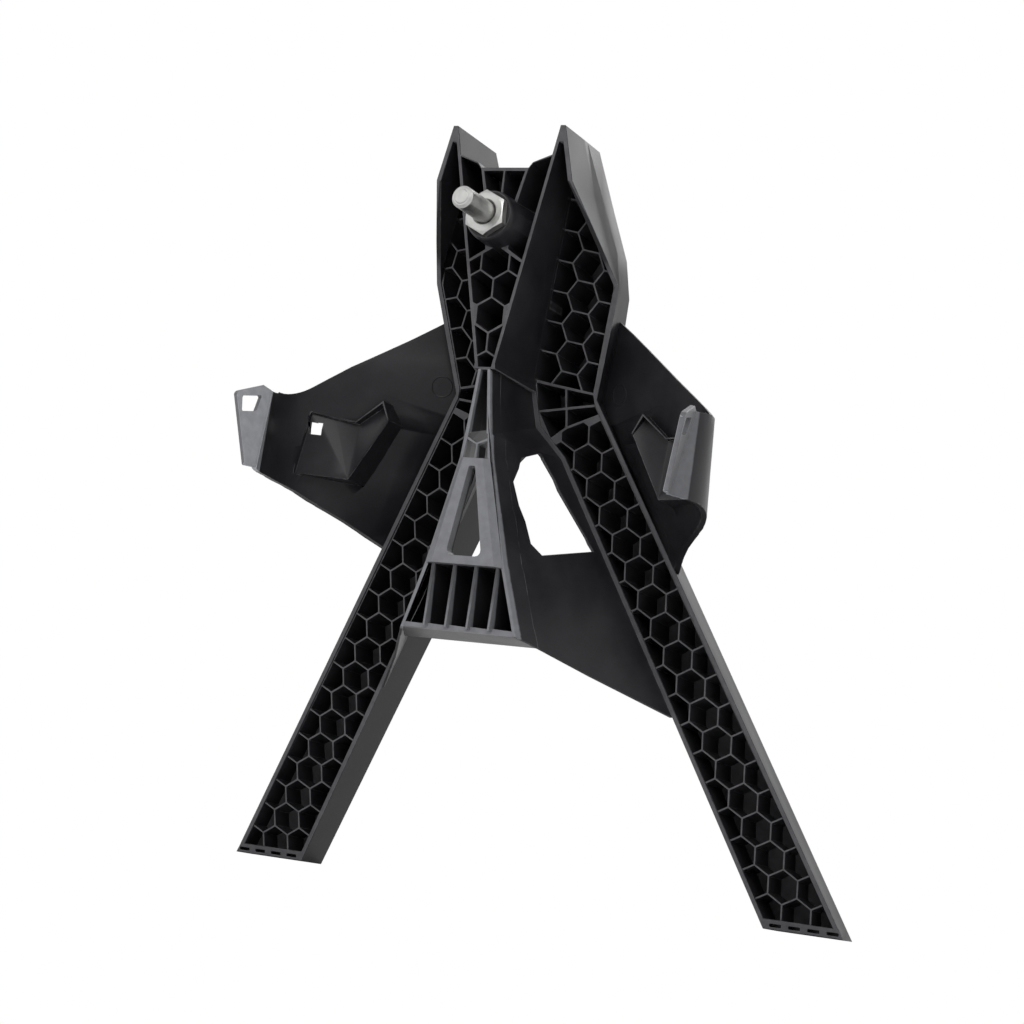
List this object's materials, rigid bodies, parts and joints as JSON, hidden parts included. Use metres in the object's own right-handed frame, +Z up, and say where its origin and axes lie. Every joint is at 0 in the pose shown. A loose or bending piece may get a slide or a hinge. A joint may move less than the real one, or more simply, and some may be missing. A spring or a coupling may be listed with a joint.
{
  "type": "bike stand",
  "caption": "Moulded A-frame bicycle stand with honeycomb legs, a grilled keel, curled side wings with strap flanges and a steel axle stub held by a hex nut.",
  "frame": {"origin": "middle of the width and of the depth, on the floor under the feet", "axes": "+X to the stand's right leg as the picture shows it, -Y out of the honeycomb face and along the axle stub, +Z up"},
  "size_m": [0.3762, 0.2074, 0.3924],
  "materials": {
    "black_nylon": "satin",
    "zinc_steel": "bright zinc plate"
  },
  "bodies": {
    "frame": {"left_leg": "black_nylon", "right_leg": "black_nylon", "left_web": "black_nylon", "right_web": "black_nylon", "keel_frame": "black_nylon", "axle_bridge": "black_nylon", "left_wing": "black_nylon", "right_wing": "black_nylon", "axle_stub": "zinc_steel", "rear_washer": "zinc_steel"},
    "nut": {"axle_nut": "zinc_steel"}
  },
  "joints": [
    {"name": "nut_spin", "type": "hinge", "parent": "frame", "child": "nut", "pos_m": [0, -0.0753, 0.3414], "axis": [0, -1, 0], "continuous": true}
  ]
}
